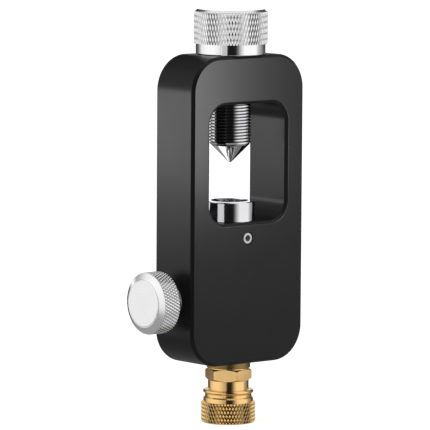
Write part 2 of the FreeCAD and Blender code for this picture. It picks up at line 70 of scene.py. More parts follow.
# ----------------------------------------------------------
# The block. A slab of aluminium with a rounded window milled through it, chamfered all round, then drilled for the
# screw, the cup, the lock screw, the bleed valve and the coupler. Bead blasted and anodised black.
# ----------------------------------------------------------
block_low, block_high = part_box("yoke_body")
window_half = 20.3 * mm
window_foot = -8.25 * mm
window_top = 40.85 * mm
edge_chamfer = 1.15 * mm
soft_edge = 0.14 * mm
face_margin = 0.5 * mm


def soften(outline, radius, steps=3, closed=True):
    """A 2D outline with an arc of the radius at each corner, and a holding point beside each arc on a long side."""
    count = len(outline)
    result = []
    for index, corner in enumerate(outline):
        here = Vector(corner[:2])
        own = corner[2] if len(corner) > 2 else radius
        if own == 0 or (not closed and index in (0, count - 1)):
            result.append(here)
            continue
        back = Vector(outline[index - 1][:2]) - here
        ahead = Vector(outline[(index + 1) % count][:2]) - here
        room = min(back.length, ahead.length)
        turn = math.pi - back.angle(ahead)
        reach = min(own * math.tan(turn / 2), room * 0.45)
        hold = reach + 0.1 * mm
        start = here + back.normalized() * reach
        end = here + ahead.normalized() * reach
        if hold < back.length * 0.45:
            result.append(here + back.normalized() * hold)
        for step in range(steps + 1):
            share = step / steps
            result.append(start.lerp(here, share).lerp(here.lerp(end, share), share))
        if hold < ahead.length * 0.45:
            result.append(here + ahead.normalized() * hold)
    return result


def rounded_loop(half_width, foot, top, radius, steps=22):
    """Points (x, z) round a rounded rectangle, with a holding point on the straight beside each arc."""
    hold = 0.5 * mm
    points = []
    for right, upper in ((1, 0), (1, 1), (0, 1), (0, 0)):
        centre_x = (half_width - radius) if right else (radius - half_width)
        centre_z = (top - radius) if upper else (foot + radius)
        start = {(1, 0): -90, (1, 1): 0, (0, 1): 90, (0, 0): 180}[right, upper]
        for step in range(steps + 1):
            angle = math.radians(start + 90 * step / steps)
            tangent = Vector((-math.sin(angle), math.cos(angle)))
            point = Vector((centre_x + radius * math.cos(angle), centre_z + radius * math.sin(angle)))
            if step == 0:
                points.append(point - tangent * hold)
            points.append(point)
            if step == steps:
                points.append(point + tangent * hold)
    return points


def finished_object(mesh, name, sharp_degrees=35.0):
    """An object at the origin from a mesh, smooth apart from edges sharper than the angle."""
    mesh.shade_smooth()
    mesh.set_sharp_from_angle(angle=math.radians(sharp_degrees))
    piece = bpy.data.objects.new(name, mesh)
    bpy.context.scene.collection.objects.link(piece)
    return piece


def stand_for(piece, body, node):
    """Let a piece ride a body and take a designed node's place."""
    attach(piece, body)
    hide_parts(node)


def mesh_of(bm, name):
    """A mesh from a closed bmesh, faces outward."""
    bmesh.ops.remove_doubles(bm, verts=bm.verts, dist=1e-7)
    bmesh.ops.recalc_face_normals(bm, faces=bm.faces)
    mesh = bpy.data.meshes.new(name)
    bm.to_mesh(mesh)
    bm.free()
    return mesh


def carve(mesh, tool, operation="DIFFERENCE"):
    """The mesh less, or in common with, the tool's mesh."""
    base = bpy.data.objects.new("carve_base", mesh)
    cutter = bpy.data.objects.new("carve_tool", tool)
    for item in (base, cutter):
        bpy.context.scene.collection.objects.link(item)
    modifier = base.modifiers.new("carve", "BOOLEAN")
    modifier.operation = operation
    modifier.solver = "EXACT"
    modifier.object = cutter
    bpy.context.view_layer.update()
    result = bpy.data.meshes.new_from_object(base.evaluated_get(bpy.context.evaluated_depsgraph_get()))
    for item in (base, cutter):
        bpy.data.objects.remove(item)
    return result


def turned_bmesh(outline, segments=144, lay=Matrix.Identity(4)):
    """A closed outline of (radius, height) turned about Z, then laid in place."""
    bm = bmesh.new()
    rings = []
    for radius, height in outline:
        if radius < 1e-9:
            rings.append([bm.verts.new((0, 0, height))] * segments)
        else:
            angles = (math.tau * step / segments for step in range(segments))
            rings.append([bm.verts.new((radius * math.cos(a), radius * math.sin(a), height)) for a in angles])
    for lower, upper in zip(rings, rings[1:] + rings[:1]):
        for step in range(segments):
            after = (step + 1) % segments
            corners = list(dict.fromkeys((lower[step], lower[after], upper[after], upper[step])))
            if len(corners) > 2:
                bm.faces.new(corners)
    bm.transform(lay)
    return bm


def joined(meshes, name):
    """One mesh of several, each with its own shell and finish."""
    bm = bmesh.new()
    result = bpy.data.meshes.new(name)
    for index, mesh in enumerate(meshes):
        before = len(bm.faces)
        bm.from_mesh(mesh)
        bm.faces.ensure_lookup_table()
        for face in bm.faces[before:]:
            face.material_index = index
        result.materials.append(next(coat for coat in reversed(mesh.materials) if coat))
    bm.to_mesh(result)
    bm.free()
    return result


def finish(name):
    """A new material and its shader."""
    material = bpy.data.materials.new(name)
    material.use_nodes = True
    return material, material.node_tree, material.node_tree.nodes["Principled BSDF"]


def texture(tree, kind, vector, **settings):
    """A texture node fed by a vector, with its inputs set."""
    node = tree.nodes.new(kind)
    for key, setting in settings.items():
        node.inputs[key.replace("_", " ")].default_value = setting
    tree.links.new(vector, node.inputs["Vector"])
    return node


def object_place(tree, scale=(1, 1, 1), location=(0, 0, 0), rotation=(0, 0, 0)):
    """The piece's own coordinates through a Mapping node."""
    place = tree.nodes.new("ShaderNodeTexCoord")
    mapping = tree.nodes.new("ShaderNodeMapping")
    mapping.inputs["Location"].default_value = location
    mapping.inputs["Rotation"].default_value = rotation
    mapping.inputs["Scale"].default_value = scale
    tree.links.new(place.outputs["Object"], mapping.inputs["Vector"])
    return mapping.outputs["Vector"]


def spread(tree, source, low, high):
    """A number from 0 to 1 spread between low and high."""
    node = tree.nodes.new("ShaderNodeMapRange")
    node.inputs["To Min"].default_value = low
    node.inputs["To Max"].default_value = high
    tree.links.new(source, node.inputs["Value"])
    return node.outputs["Result"]


def tinted(tree, factor, first, second):
    """A colour between two, by a factor."""
    node = tree.nodes.new("ShaderNodeMix")
    node.data_type = "RGBA"
    node.inputs["A"].default_value = (*first, 1)
    node.inputs["B"].default_value = (*second, 1)
    tree.links.new(factor, node.inputs["Factor"])
    return node.outputs["Result"]


def bumped(tree, shader, height, distance, strength=1.0):
    """A bump of a real height on a shader."""
    node = tree.nodes.new("ShaderNodeBump")
    node.inputs["Distance"].default_value = distance
    node.inputs["Strength"].default_value = strength
    tree.links.new(height, node.inputs["Height"])
    tree.links.new(node.outputs["Normal"], shader.inputs["Normal"])


def black_anodised():
    """Bead blasted aluminium, dyed black: a soft satin with a very fine grain."""
    material, tree, shader = finish("black_anodised")
    place = object_place(tree)
    grain = texture(tree, "ShaderNodeTexNoise", place, Scale=5200.0, Detail=2.0)
    cloud = texture(tree, "ShaderNodeTexNoise", place, Scale=38.0, Detail=3.0)
    colour = tinted(tree, cloud.outputs["Fac"], (0.0050, 0.0050, 0.0055), (0.0080, 0.0080, 0.0085))
    tree.links.new(colour, shader.inputs["Base Color"])
    tree.links.new(spread(tree, cloud.outputs["Fac"], 0.30, 0.36), shader.inputs["Roughness"])
    shader.inputs["Specular IOR Level"].default_value = 0.14
    bumped(tree, shader, grain.outputs["Fac"], 0.004 * mm, 0.6)
    return material


anodised = black_anodised()

wall_profile = soften([
    (edge_chamfer + face_margin, block_low.y),
    (edge_chamfer, block_low.y),
    (0.0, block_low.y + edge_chamfer),
    (0.0, block_high.y - edge_chamfer),
    (edge_chamfer, block_high.y),
    (edge_chamfer + face_margin, block_high.y),
], soft_edge * 3, closed=False)


def wall_rings(bm, half_width, foot, top, radius, outward):
    """Rings of vertices down a chamfered wall; outward is 1 for the block's outside and -1 for its window."""
    rings = []
    for inset, depth in wall_profile:
        off = inset * outward
        loop = rounded_loop(half_width - off, foot + off, top - off, radius - off)
        rings.append([bm.verts.new((x, depth, z)) for x, z in loop])
    return rings


def bridge(bm, first, second):
    """A strip of faces between two rings of the same length."""
    for step in range(len(first)):
        after = (step + 1) % len(first)
        bm.faces.new((first[step], first[after], second[after], second[step]))


bm = bmesh.new()
outside = wall_rings(bm, block_high.x, block_low.z, block_high.z, 14.5 * mm, 1)
window = wall_rings(bm, window_half, window_foot, window_top, 8.0 * mm, -1)
for rings in (outside, window):
    for first, second in zip(rings, rings[1:]):
        bridge(bm, first, second)
bridge(bm, outside[0], window[0])
bridge(bm, outside[-1], window[-1])
block_mesh = mesh_of(bm, "block")

main_axis = Matrix.Identity(4)
lock_low, lock_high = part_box("seat_lock_screw")
lock_height = (lock_low.z + lock_high.z) / 2
lock_axis = Matrix.Translation((0, lock_low.y, lock_height)) @ Matrix.Rotation(math.radians(90), 4, "X")
stem_low, stem_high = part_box("bleed_stem")
bleed_height = (stem_low.z + stem_high.z) / 2
bleed_axis = Matrix.Translation((block_low.x, 0, bleed_height)) @ Matrix.Rotation(math.radians(-90), 4, "Y")
vent_axis = Matrix.Translation((-16.0 * mm, 0, bleed_height)) @ Matrix.Rotation(math.radians(-90), 4, "X")
drillings = [
    (main_axis, [(8.75, 39.0), (9.35, 60.2), (9.95, 62.0), (0, 62.0), (0, 39.0)]),
    (main_axis, [(6.02, -18.7), (6.02, -8.0), (0, -8.0), (0, -18.7)]),
    (main_axis, [(4.87, -68.0), (4.87, -58.0), (0, -58.0), (0, -68.0)]),
    (lock_axis, [(0, 1.0), (2.85, 1.0), (2.52, -0.35), (2.52, -7.0), (0, -7.0)]),
    (bleed_axis, [(4.52, 1.0), (4.52, -10.0), (0, -10.0), (0, 1.0)]),
    (vent_axis, [(1.1, 13.0), (0.8, 11.95), (0.8, 2.0), (0, 2.0), (0, 13.0)]),
]
for lay, outline in drillings:
    cutter = turned_bmesh([(radius * mm, height * mm) for radius, height in outline], 72, lay)
    block_mesh = carve(block_mesh, mesh_of(cutter, "drilling"))
block = finished_object(block_mesh, "block", 20.0)
block.data.materials.clear()
block.data.materials.append(anodised)
stand_for(block, "yoke", "yoke_body")

# ----------------------------------------------------------
# The clamp screw. Turned stainless bar with a 20-to-the-inch thread and a chamfered end, polished after threading.
# The thread is cut by a rule, so it is a node tree: a tube whose radius follows the helix.
# ----------------------------------------------------------
screw_low, screw_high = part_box("clamp_screw")
screw_end = screw_low.z
screw_crest = (screw_high.x - screw_low.x) / 2
thread_pitch = 1.27 * mm
thread_depth = 0.74 * mm


class Steps:
    """Builds a geometry tree: its named inputs, its grid of points and the sums that place them."""

    def __init__(self, name, sizes):
        self.tree = bpy.data.node_groups.new(name, "GeometryNodeTree")
        self.sizes = sizes
        for key, setting in sizes.items():
            kind = "NodeSocketInt" if isinstance(setting, int) else "NodeSocketFloat"
            self.tree.interface.new_socket(key, in_out="INPUT", socket_type=kind)
        self.tree.interface.new_socket("Finish", in_out="INPUT", socket_type="NodeSocketMaterial")
        self.tree.interface.new_socket("Geometry", in_out="OUTPUT", socket_type="NodeSocketGeometry")
        self.inputs = self.tree.nodes.new("NodeGroupInput")

    def size(self, key):
        """A named input of the tree."""
        return self.inputs.outputs[key]

    def feed(self, source, target):
        """Put a socket or a plain value into an input."""
        if isinstance(source, bpy.types.NodeSocket):
            self.tree.links.new(source, target)
        else:
            target.default_value = source

    def sum(self, operation, *terms):
        """One step of arithmetic."""
        node = self.tree.nodes.new("ShaderNodeMath")
        node.operation = operation
        for source, target in zip(terms, node.inputs):
            self.feed(source, target)
        return node.outputs["Value"]

    def either(self, test, yes, no):
        """yes where the test is 1, or else no."""
        against = self.sum("SUBTRACT", 1.0, test)
        return self.sum("ADD", self.sum("MULTIPLY", test, yes), self.sum("MULTIPLY", against, no))

    def sheet(self, across, rows):
        """A flat grid of points, and each point's share across and its row number."""
        grid = self.tree.nodes.new("GeometryNodeMeshGrid")
        self.feed(across, grid.inputs["Vertices X"])
        self.feed(rows, grid.inputs["Vertices Y"])
        split = self.tree.nodes.new("ShaderNodeSeparateXYZ")
        position = self.tree.nodes.new("GeometryNodeInputPosition")
        self.tree.links.new(position.outputs["Position"], split.inputs["Vector"])
        share = self.sum("ADD", split.outputs["X"], 0.5)
        row = self.sum("MULTIPLY", self.sum("ADD", split.outputs["Y"], 0.5), self.sum("SUBTRACT", rows, 1.0))
        return grid.outputs["Mesh"], share, row

    def roll(self, mesh, share, radius, height):
        """Roll the grid into a tube about Z, weld its seam and give it its finish."""
        place = self.tree.nodes.new("GeometryNodeSetPosition")
        spot = self.tree.nodes.new("ShaderNodeCombineXYZ")
        angle = self.sum("MULTIPLY", share, math.tau)
        self.feed(self.sum("MULTIPLY", radius, self.sum("COSINE", angle)), spot.inputs["X"])
        self.feed(self.sum("MULTIPLY", radius, self.sum("SINE", angle)), spot.inputs["Y"])
        self.feed(height, spot.inputs["Z"])
        self.feed(mesh, place.inputs["Geometry"])
        self.feed(spot.outputs["Vector"], place.inputs["Position"])
        weld = self.tree.nodes.new("GeometryNodeMergeByDistance")
        weld.inputs["Distance"].default_value = 0.0005 * mm
        realize = self.tree.nodes.new("GeometryNodeRealizeInstances")
        coat = self.tree.nodes.new("GeometryNodeSetMaterial")
        out = self.tree.nodes.new("NodeGroupOutput")
        self.feed(place.outputs["Geometry"], weld.inputs["Geometry"])
        self.feed(weld.outputs["Geometry"], realize.inputs["Geometry"])
        self.feed(realize.outputs["Geometry"], coat.inputs["Geometry"])
        self.feed(self.size("Finish"), coat.inputs["Material"])
        self.feed(coat.outputs["Geometry"], out.inputs["Geometry"])

    def mesh(self, coat):
        """The mesh that the tree makes with its sizes."""
        holder = bpy.data.objects.new("holder", bpy.data.meshes.new("holder"))
        bpy.context.scene.collection.objects.link(holder)
        modifier = holder.modifiers.new("steps", "NODES")
        modifier.node_group = self.tree
        for item in self.tree.interface.items_tree:
            if item.item_type == "SOCKET" and item.in_out == "INPUT":
                modifier[item.identifier] = coat if item.name == "Finish" else self.sizes[item.name]
        bpy.context.view_layer.update()
        result = bpy.data.meshes.new_from_object(holder.evaluated_get(bpy.context.evaluated_depsgraph_get()))
        holder.modifiers.clear()
        bpy.data.objects.remove(holder)
        return result


def threaded_tube(name, crest, depth, pitch, foot, top, lead_radius, core, coat):
    """A closed tube with an outside thread from foot to top, its first turns cut back to a 45 degree lead."""
    around = 144
    sizes = {
        "Crest": crest, "Depth": depth, "Pitch": pitch, "Foot": foot, "Top": top, "Lead radius": lead_radius,
        "Core": core, "Around": around + 1, "Rows": 4 * (math.ceil((top - foot) / pitch) + 3) + 3,
    }
    steps = Steps(name, sizes)
    size = steps.size
    mesh, share, row = steps.sheet(size("Around"), size("Rows"))
    row = steps.sum("ROUND", row)
    inner = steps.sum("SUBTRACT", row, 1.0)
    corner = steps.sum("FLOORED_MODULO", inner, 4.0)
    turn = steps.sum("FLOOR", steps.sum("DIVIDE", inner, 4.0))
    past = [steps.sum("GREATER_THAN", corner, limit) for limit in (0.5, 1.5, 2.5)]
    rise = steps.sum("MULTIPLY", past[0], 0.46)
    rise = steps.sum("ADD", rise, steps.sum("MULTIPLY", past[1], 0.2))
    rise = steps.sum("ADD", rise, steps.sum("MULTIPLY", past[2], 0.14))
    level = steps.sum("ADD", steps.sum("ADD", turn, rise), steps.sum("SUBTRACT", share, 2.0))
    height = steps.sum("ADD", size("Foot"), steps.sum("MULTIPLY", level, size("Pitch")))
    height = steps.sum("MINIMUM", steps.sum("MAXIMUM", height, size("Foot")), size("Top"))
    radius = steps.sum("SUBTRACT", size("Crest"), steps.sum("MULTIPLY", past[1], size("Depth")))
    lead = steps.sum("ADD", size("Lead radius"), steps.sum("SUBTRACT", height, size("Foot")))
    radius = steps.sum("MINIMUM", radius, lead)
    first = steps.sum("LESS_THAN", row, 0.5)
    last = steps.sum("GREATER_THAN", row, steps.sum("SUBTRACT", size("Rows"), 1.5))
    before_last = steps.sum("GREATER_THAN", row, steps.sum("SUBTRACT", size("Rows"), 2.5))
    radius = steps.either(steps.sum("MAXIMUM", first, before_last), size("Core"), radius)
    height = steps.either(steps.sum("MAXIMUM", first, last), size("Foot"), height)
    steps.roll(mesh, share, radius, height)
    return steps.mesh(coat)


def turning_marks(tree, axis="main"):
    """How far along the fine tool marks of a turned piece a point is, about the main or the bleed axis."""
    turn = (0, 0, 0) if axis == "main" else (0, math.radians(90), 0)
    shift = (0, 0, 0) if axis == "main" else (0, 0, -bleed_height)
    place = tree.nodes.new("ShaderNodeTexCoord")
    centred = tree.nodes.new("ShaderNodeVectorMath")
    centred.inputs[1].default_value = shift
    rotated = tree.nodes.new("ShaderNodeMapping")
    rotated.inputs["Rotation"].default_value = turn
    split = tree.nodes.new("ShaderNodeSeparateXYZ")
    tree.links.new(place.outputs["Object"], centred.inputs[0])
    tree.links.new(centred.outputs["Vector"], rotated.inputs["Vector"])
    tree.links.new(rotated.outputs["Vector"], split.inputs["Vector"])
    flat = tree.nodes.new("ShaderNodeCombineXYZ")
    length = tree.nodes.new("ShaderNodeVectorMath")
    length.operation = "LENGTH"
    marks = tree.nodes.new("ShaderNodeCombineXYZ")
    for letter in "XY":
        tree.links.new(split.outputs[letter], flat.inputs[letter])
    tree.links.new(flat.outputs["Vector"], length.inputs[0])
    tree.links.new(length.outputs["Value"], marks.inputs["X"])
    tree.links.new(split.outputs["Z"], marks.inputs["Y"])
    return marks.outputs["Vector"]


def turned_metal(name, colours, roughness, mark_depth, axis="main", groove=None):
    """A turned metal: two close colours, a low and high roughness, and fine rings from the tool.
    groove is the root radius, the crest radius and how dark the root is painted: painted shade that darkens the
    colour towards each groove's root."""
    material, tree, shader = finish(name)
    marks = turning_marks(tree, axis)
    fine = texture(tree, "ShaderNodeTexNoise", marks, Scale=9000.0, Detail=3.0, Roughness=0.6)
    cloud = texture(tree, "ShaderNodeTexNoise", object_place(tree), Scale=160.0, Detail=3.0)
    colour = tinted(tree, cloud.outputs["Fac"], *colours)
    # painted shade: the colour is darkened by radius, from the crest down to the root of each groove
    if groove:
        split = tree.nodes.new("ShaderNodeSeparateXYZ")
        height = tree.nodes.new("ShaderNodeMapRange")
        shade = tree.nodes.new("ShaderNodeVectorMath")
        shade.operation = "SCALE"
        for key, setting in zip(("From Min", "From Max", "To Min"), groove):
            height.inputs[key].default_value = setting
        tree.links.new(marks, split.inputs["Vector"])
        tree.links.new(split.outputs["X"], height.inputs["Value"])
        tree.links.new(colour, shade.inputs[0])
        tree.links.new(height.outputs["Result"], shade.inputs["Scale"])
        colour = shade.outputs["Vector"]
    tree.links.new(colour, shader.inputs["Base Color"])
    tree.links.new(spread(tree, fine.outputs["Fac"], *roughness), shader.inputs["Roughness"])
    shader.inputs["Metallic"].default_value = 1.0
    bumped(tree, shader, fine.outputs["Fac"], mark_depth)
    return material


steel_colours = ((0.74, 0.74, 0.76), (0.80, 0.80, 0.82))
polished_steel = turned_metal("polished_steel", steel_colours, (0.05, 0.11), 0.0012 * mm)
polished_steel_side = turned_metal("polished_steel_side", steel_colours, (0.06, 0.13), 0.0015 * mm, "side")


def turned_piece(outline, name, coat, lay=Matrix.Identity(4), soft=0.12, segments=144):
    """A finished turned mesh from an outline in millimetres."""
    bm = turned_bmesh(soften([tuple(v * mm for v in corner) for corner in outline], soft * mm), segments, lay)
    mesh = mesh_of(bm, name)
    mesh.materials.append(coat)
    return mesh


thread_top = 61.4 * mm
lead_radius = 7.75 * mm
core_radius = 7.0 * mm
# painted shade: the thread's roots are painted darker, down to 0.3 of the steel's colour
thread_painted_shade = (screw_crest - thread_depth, screw_crest - 0.1 * mm, 0.3)
thread_steel = turned_metal("thread_steel", steel_colours, (0.07, 0.14), 0.0012 * mm, groove=thread_painted_shade)
screw_thread = threaded_tube(
    "screw_thread", screw_crest, thread_depth, thread_pitch, screw_end, thread_top, lead_radius, core_radius,
    thread_steel,
)
screw_core = turned_piece([
    (3.05, 23.125), (7.6, 23.125), (7.6, 61.0), (5.0, 61.6), (5.0, 76.0), (0, 76.0, 0), (0, 33.42, 0),
    (3.05, 33.42),
], "screw_core", polished_steel)
clamp_screw = finished_object(joined([screw_thread, screw_core], "clamp_screw"), "clamp_screw_threaded", 25.0)
stand_for(clamp_screw, "screw", "clamp_screw")

# ----------------------------------------------------------
# The thrust point. A hardened 90 degree cone that swivels in the end of the screw on a pin, so that it doesn't
# scour the valve's dimple. Ground and polished.
# ----------------------------------------------------------
point_low, point_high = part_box("thrust_point")
point_radius = (point_high.x - point_low.x) / 2 / mm
point_tip = point_low.z / mm
point_mesh = turned_piece([
    (0, point_tip, 0), (0.4, point_tip, 0.85), (point_radius, 23.07, 0.06), (3.0, 23.07, 0.1),
    (3.0, 33.12, 0.2),
    (0, 33.12, 0),
], "thrust_point", polished_steel)
thrust_point = finished_object(point_mesh, "thrust_point_cone", 30.0)
stand_for(thrust_point, "point", "thrust_point")

# ----------------------------------------------------------
# The clamp knob. Bright turned aluminium, pressed on the screw's spigot: a smooth collar, a diamond knurl and a
# bevel cut after knurling, so the grooves run out into it. The knurl is a node tree.
# ----------------------------------------------------------
knob_low, knob_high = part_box("clamp_knob")
knob_radius = (knob_high.x - knob_low.x) / 2
knob_foot = knob_low.z / mm
knurl_foot = 65.37 * mm
knurl_bevel = 1.2 * mm
aluminium_colours = ((0.90, 0.90, 0.91), (0.95, 0.95, 0.955))
bright_aluminium_side = turned_metal(
    "bright_aluminium_side", aluminium_colours, (0.20, 0.30), 0.0015 * mm, "side")


def knurled_ring(
        name, crest, depth, teeth, row, foot, top, foot_bevel, top_bevel, core, coat, flats=0.86, cuts=6):
    """A closed ring with a diamond knurl. row is half a diamond's height; each bevel is (length, radial drop)."""
    sizes = {
        "Crest": crest, "Depth": depth, "Teeth": teeth, "Row": row, "Foot": foot, "Top": top,
        "Foot bevel length": foot_bevel[0], "Foot bevel drop": foot_bevel[1],
        "Top bevel length": top_bevel[0], "Top bevel drop": top_bevel[1],
        "Core": core, "Flats": flats, "Cuts": cuts, "Around": 2 * teeth * cuts + 1,
        "Rows": math.ceil((top - foot) / row * cuts) + 4,
    }
    steps = Steps(name, sizes)
    size = steps.size
    mesh, share, row_number = steps.sheet(size("Around"), size("Rows"))
    step_height = steps.sum("DIVIDE", size("Row"), size("Cuts"))
    tooth = steps.sum("MULTIPLY", share, size("Teeth"))
    rows_up = steps.sum("SUBTRACT", row_number, 1.0)
    rise = steps.sum("DIVIDE", rows_up, steps.sum("MULTIPLY", size("Cuts"), 2.0))

    # each small square is split along the groove that crosses it
    column_half = steps.sum("FLOOR", steps.sum("MULTIPLY", tooth, 2.0))
    row_half = steps.sum("FLOOR", steps.sum("MULTIPLY", rise, 2.0))
    leaning = steps.sum("FLOORED_MODULO", steps.sum("ADD", column_half, row_half), 2.0)
    forward = steps.tree.nodes.new("GeometryNodeTriangulate")
    forward.quad_method = "FIXED"
    backward = steps.tree.nodes.new("GeometryNodeTriangulate")
    backward.quad_method = "FIXED_ALTERNATE"
    steps.feed(mesh, forward.inputs["Mesh"])
    steps.feed(steps.sum("LESS_THAN", leaning, 0.5), forward.inputs["Selection"])
    steps.feed(forward.outputs["Mesh"], backward.inputs["Mesh"])

    row_number = steps.sum("ROUND", row_number)
    rows_up = steps.sum("SUBTRACT", row_number, 1.0)
    free_height = steps.sum("ADD", size("Foot"), steps.sum("MULTIPLY", rows_up, step_height))
    height = steps.sum("MINIMUM", steps.sum("MAXIMUM", free_height, size("Foot")), size("Top"))
    height_up = steps.sum("SUBTRACT", height, size("Foot"))
    rise = steps.sum("DIVIDE", height_up, steps.sum("MULTIPLY", size("Row"), 2.0))
    right = steps.sum("MULTIPLY", steps.sum("PINGPONG", steps.sum("ADD", tooth, rise), 0.5), 2.0)
    left = steps.sum("MULTIPLY", steps.sum("PINGPONG", steps.sum("SUBTRACT", tooth, rise), 0.5), 2.0)
    swell = steps.sum("MINIMUM", steps.sum("DIVIDE", steps.sum("MINIMUM", left, right), size("Flats")), 1.0)
    dip = steps.sum("MULTIPLY", size("Depth"), steps.sum("SUBTRACT", 1.0, swell))
    radius = steps.sum("SUBTRACT", size("Crest"), dip)

    def bevelled(inward, length, drop):
        past = steps.sum("MAXIMUM", steps.sum("SUBTRACT", length, inward), 0.0)
        fall = steps.sum("MULTIPLY", steps.sum("DIVIDE", past, steps.sum("MAXIMUM", length, 1e-6)), drop)
        return steps.sum("SUBTRACT", size("Crest"), fall)

    from_top = steps.sum("SUBTRACT", size("Top"), height)
    from_foot = steps.sum("SUBTRACT", height, size("Foot"))
    for inward, end in ((from_top, "Top"), (from_foot, "Foot")):
        limit = bevelled(inward, size(f"{end} bevel length"), size(f"{end} bevel drop"))
        radius = steps.sum("MINIMUM", radius, limit)
    first = steps.sum("LESS_THAN", row_number, 0.5)
    last = steps.sum("GREATER_THAN", row_number, steps.sum("SUBTRACT", size("Rows"), 1.5))
    before_last = steps.sum("GREATER_THAN", row_number, steps.sum("SUBTRACT", size("Rows"), 2.5))
    radius = steps.either(steps.sum("MAXIMUM", first, before_last), size("Core"), radius)
    height = steps.either(steps.sum("MAXIMUM", first, last), size("Foot"), height)
    steps.roll(backward.outputs["Mesh"], share, radius, height)
    return steps.mesh(coat)


polished_aluminium = turned_metal("polished_aluminium", aluminium_colours, (0.06, 0.1), 0.0006 * mm)
# painted shade: the knurl's grooves are painted darker towards their roots
knob_painted_shade = (knob_radius - 0.22 * mm, knob_radius - 0.1 * mm, 0.8)
knurled_aluminium = turned_metal(
    "knurled_aluminium", aluminium_colours, (0.12, 0.2), 0.0015 * mm, groove=knob_painted_shade)
knob_knurl = knurled_ring(
    "knob_knurl", knob_radius, 0.22 * mm, 75, 2.34 * mm, knurl_foot, knob_high.z - 0.01 * mm,
    (0.05 * mm, 0.05 * mm), (knurl_bevel, knurl_bevel), 14.0 * mm, knurled_aluminium, 0.5,
)
knob_top = knob_high.z / mm
knob_core = turned_piece([
    (8.75, knob_foot), (14.44, knob_foot, 0.3), (14.44, 65.6, 0), (14.1, 65.6, 0),
    (14.1, knob_top, 0.05),
    (0, knob_top, 0), (0, 76.3, 0), (5.02, 76.3), (5.02, 61.52), (8.75, 61.52),
], "knob_core", polished_aluminium)
clamp_knob = finished_object(joined([knob_knurl, knob_core], "clamp_knob"), "clamp_knob_knurled", 12.0)
stand_for(clamp_knob, "screw", "clamp_knob")

# ----------------------------------------------------------
# The inlet cup. Turned stainless, screwed into the window's floor on an O-ring, polished all over. The valve's
# spout goes into its recess and seals on the O-ring in the recess's floor.
# ----------------------------------------------------------
cup_mesh = turned_piece([
    (1.5, -18.6), (5.5, -18.6), (6.0, -18.1), (6.0, -8.25), (10.5, -8.25, 0.25), (10.6, -8.15, 0.1),
    (10.6, -0.35, 0.2),
    (10.25, 0, 0.2), (8.0, 0, 0.2), (7.7, -0.3, 0.2), (7.7, -4.0, 0.3), (6.9, -4.0), (6.9, -5.85),
    (4.9, -5.85),
    (4.9, -4.0), (3.5, -4.0), (3.5, -7.45), (1.5, -7.45),
], "inlet_cup", polished_steel)
inlet_cup = finished_object(cup_mesh, "inlet_cup", 30.0)
stand_for(inlet_cup, "yoke", "inlet_seat")

# ----------------------------------------------------------
# The lock screw. A plain steel M5 set screw with a hexagon socket, sunk just below the front face, which bears on
# the cup's spigot.
# ----------------------------------------------------------
lock_length = (lock_high.y - lock_low.y) / mm
socket_across = 2.5
lock_lay = Matrix.Translation((0, lock_high.y, lock_height)) @ Matrix.Rotation(math.radians(90), 4, "X")
lock_steel = turned_metal("lock_steel", ((0.50, 0.48, 0.46), (0.62, 0.60, 0.57)), (0.16, 0.30), 0.004 * mm)
lock_mesh = turned_piece([
    (0, 0, 0), (1.7, 0), (2.5, 0.8), (2.5, lock_length - 0.3), (2.2, lock_length, 0.12),
    (0, lock_length, 0),
], "lock_screw", lock_steel, lock_lay, 0.08, 72)
bm = bmesh.new()
bmesh.ops.create_cone(
    bm, cap_ends=True, segments=6, radius1=socket_across / 2 / math.cos(math.pi / 6) * mm,
    radius2=socket_across / 2 / math.cos(math.pi / 6) * mm, depth=4.8 * mm,
    matrix=lock_lay @ Matrix.Translation((0, 0, lock_length * mm)) @ Matrix.Rotation(math.pi / 6, 4, "Z"),
)
lock_mesh = carve(lock_mesh, mesh_of(bm, "socket"))
lock_screw = finished_object(lock_mesh, "lock_screw", 30.0)
stand_for(lock_screw, "yoke", "seat_lock_screw")

# ----------------------------------------------------------
# The bleed valve. A flanged gland screwed into the side face, a thin polished stem through it, and a knurled knob
# with a wide bevel and a hollow back, pressed on the stem.
# ----------------------------------------------------------
gland_mesh = turned_piece([
    (2.05, -9.8), (3.42, -9.8), (3.42, -8.0), (4.5, -8.0), (4.5, 0), (6.3, 0, 0.1), (6.3, 0.8, 0.3),
    (2.05, 0.8, 0.1),
    (2.05, -4.0), (3.15, -4.0), (3.15, -5.6), (2.05, -5.6),
], "bleed_gland", polished_steel_side, bleed_axis, 0.08)
bleed_gland = finished_object(gland_mesh, "bleed_gland_flange", 30.0)
stand_for(bleed_gland, "yoke", "bleed_gland")

stem_foot = (block_low.x - stem_high.x) / mm
stem_top = (block_low.x - stem_low.x) / mm
stem_mesh = turned_piece([
    (0.85, stem_foot), (2.0, stem_foot, 0.2), (2.0, stem_top), (0, stem_top, 0),
    (0, stem_foot + 3.2, 0),
    (0.85, stem_foot + 3.2),
], "bleed_stem", polished_steel_side, bleed_axis, 0.08, 96)
bleed_stem = finished_object(stem_mesh, "bleed_stem_rod", 30.0)
stand_for(bleed_stem, "bleed_screw", "bleed_stem")

